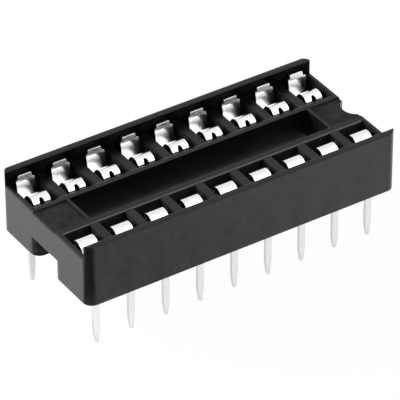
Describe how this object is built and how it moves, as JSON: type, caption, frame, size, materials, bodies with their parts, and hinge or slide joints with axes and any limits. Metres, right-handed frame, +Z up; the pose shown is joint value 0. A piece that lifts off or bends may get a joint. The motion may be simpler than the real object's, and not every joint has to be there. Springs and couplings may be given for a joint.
{
  "type": "dip socket",
  "caption": "Dual-in-line chip socket: black moulded body with rows of open pockets, each holding a stamped dual-leaf spring contact with a straight solder tail, and a polarity notch.",
  "frame": {"origin": "middle of the footprint, on the underside that sits on the board", "axes": "+X along the rows towards the polarity notch, +Y across the rows to contact 1's side, +Z up, away from the board"},
  "size_m": [0.0228, 0.0102, 0.0082],
  "materials": {
    "housing_plastic": "satin black moulding",
    "contact_metal": "bright tin plate"
  },
  "bodies": {
    "socket": {"housing": "housing_plastic", "contact_01": "contact_metal", "contact_02": "contact_metal", "contact_03": "contact_metal", "contact_04": "contact_metal", "contact_05": "contact_metal", "contact_06": "contact_metal", "contact_07": "contact_metal", "contact_08": "contact_metal", "contact_09": "contact_metal", "contact_10": "contact_metal", "contact_11": "contact_metal", "contact_12": "contact_metal", "contact_13": "contact_metal", "contact_14": "contact_metal", "contact_15": "contact_metal", "contact_16": "contact_metal", "contact_17": "contact_metal", "contact_18": "contact_metal"},
    "leaf_01": {"spring_leaf_01": "contact_metal"},
    "leaf_02": {"spring_leaf_02": "contact_metal"},
    "leaf_03": {"spring_leaf_03": "contact_metal"},
    "leaf_04": {"spring_leaf_04": "contact_metal"},
    "leaf_05": {"spring_leaf_05": "contact_metal"},
    "leaf_06": {"spring_leaf_06": "contact_metal"},
    "leaf_07": {"spring_leaf_07": "contact_metal"},
    "leaf_08": {"spring_leaf_08": "contact_metal"},
    "leaf_09": {"spring_leaf_09": "contact_metal"},
    "leaf_10": {"spring_leaf_10": "contact_metal"},
    "leaf_11": {"spring_leaf_11": "contact_metal"},
    "leaf_12": {"spring_leaf_12": "contact_metal"},
    "leaf_13": {"spring_leaf_13": "contact_metal"},
    "leaf_14": {"spring_leaf_14": "contact_metal"},
    "leaf_15": {"spring_leaf_15": "contact_metal"},
    "leaf_16": {"spring_leaf_16": "contact_metal"},
    "leaf_17": {"spring_leaf_17": "contact_metal"},
    "leaf_18": {"spring_leaf_18": "contact_metal"}
  },
  "joints": [
    {"name": "leaf_flex_01", "type": "hinge", "parent": "socket", "child": "leaf_01", "pos_m": [0.01016, 0.00212, 0.001], "axis": [1, 0, 0], "range_deg": [0, 7], "stiffness_Nm_per_rad": 0.02},
    {"name": "leaf_flex_02", "type": "hinge", "parent": "socket", "child": "leaf_02", "pos_m": [0.00762, 0.00212, 0.001], "axis": [1, 0, 0], "range_deg": [0, 7], "stiffness_Nm_per_rad": 0.02},
    {"name": "leaf_flex_03", "type": "hinge", "parent": "socket", "child": "leaf_03", "pos_m": [0.00508, 0.00212, 0.001], "axis": [1, 0, 0], "range_deg": [0, 7], "stiffness_Nm_per_rad": 0.02},
    {"name": "leaf_flex_04", "type": "hinge", "parent": "socket", "child": "leaf_04", "pos_m": [0.00254, 0.00212, 0.001], "axis": [1, 0, 0], "range_deg": [0, 7], "stiffness_Nm_per_rad": 0.02},
    {"name": "leaf_flex_05", "type": "hinge", "parent": "socket", "child": "leaf_05", "pos_m": [0, 0.00212, 0.001], "axis": [1, 0, 0], "range_deg": [0, 7], "stiffness_Nm_per_rad": 0.02},
    {"name": "leaf_flex_06", "type": "hinge", "parent": "socket", "child": "leaf_06", "pos_m": [-0.00254, 0.00212, 0.001], "axis": [1, 0, 0], "range_deg": [0, 7], "stiffness_Nm_per_rad": 0.02},
    {"name": "leaf_flex_07", "type": "hinge", "parent": "socket", "child": "leaf_07", "pos_m": [-0.00508, 0.00212, 0.001], "axis": [1, 0, 0], "range_deg": [0, 7], "stiffness_Nm_per_rad": 0.02},
    {"name": "leaf_flex_08", "type": "hinge", "parent": "socket", "child": "leaf_08", "pos_m": [-0.00762, 0.00212, 0.001], "axis": [1, 0, 0], "range_deg": [0, 7], "stiffness_Nm_per_rad": 0.02},
    {"name": "leaf_flex_09", "type": "hinge", "parent": "socket", "child": "leaf_09", "pos_m": [-0.01016, 0.00212, 0.001], "axis": [1, 0, 0], "range_deg": [0, 7], "stiffness_Nm_per_rad": 0.02},
    {"name": "leaf_flex_10", "type": "hinge", "parent": "socket", "child": "leaf_10", "pos_m": [-0.01016, -0.00212, 0.001], "axis": [-1, 0, 0], "range_deg": [0, 7], "stiffness_Nm_per_rad": 0.02},
    {"name": "leaf_flex_11", "type": "hinge", "parent": "socket", "child": "leaf_11", "pos_m": [-0.00762, -0.00212, 0.001], "axis": [-1, 0, 0], "range_deg": [0, 7], "stiffness_Nm_per_rad": 0.02},
    {"name": "leaf_flex_12", "type": "hinge", "parent": "socket", "child": "leaf_12", "pos_m": [-0.00508, -0.00212, 0.001], "axis": [-1, 0, 0], "range_deg": [0, 7], "stiffness_Nm_per_rad": 0.02},
    {"name": "leaf_flex_13", "type": "hinge", "parent": "socket", "child": "leaf_13", "pos_m": [-0.00254, -0.00212, 0.001], "axis": [-1, 0, 0], "range_deg": [0, 7], "stiffness_Nm_per_rad": 0.02},
    {"name": "leaf_flex_14", "type": "hinge", "parent": "socket", "child": "leaf_14", "pos_m": [0, -0.00212, 0.001], "axis": [-1, 0, 0], "range_deg": [0, 7], "stiffness_Nm_per_rad": 0.02},
    {"name": "leaf_flex_15", "type": "hinge", "parent": "socket", "child": "leaf_15", "pos_m": [0.00254, -0.00212, 0.001], "axis": [-1, 0, 0], "range_deg": [0, 7], "stiffness_Nm_per_rad": 0.02},
    {"name": "leaf_flex_16", "type": "hinge", "parent": "socket", "child": "leaf_16", "pos_m": [0.00508, -0.00212, 0.001], "axis": [-1, 0, 0], "range_deg": [0, 7], "stiffness_Nm_per_rad": 0.02},
    {"name": "leaf_flex_17", "type": "hinge", "parent": "socket", "child": "leaf_17", "pos_m": [0.00762, -0.00212, 0.001], "axis": [-1, 0, 0], "range_deg": [0, 7], "stiffness_Nm_per_rad": 0.02},
    {"name": "leaf_flex_18", "type": "hinge", "parent": "socket", "child": "leaf_18", "pos_m": [0.01016, -0.00212, 0.001], "axis": [-1, 0, 0], "range_deg": [0, 7], "stiffness_Nm_per_rad": 0.02}
  ]
}
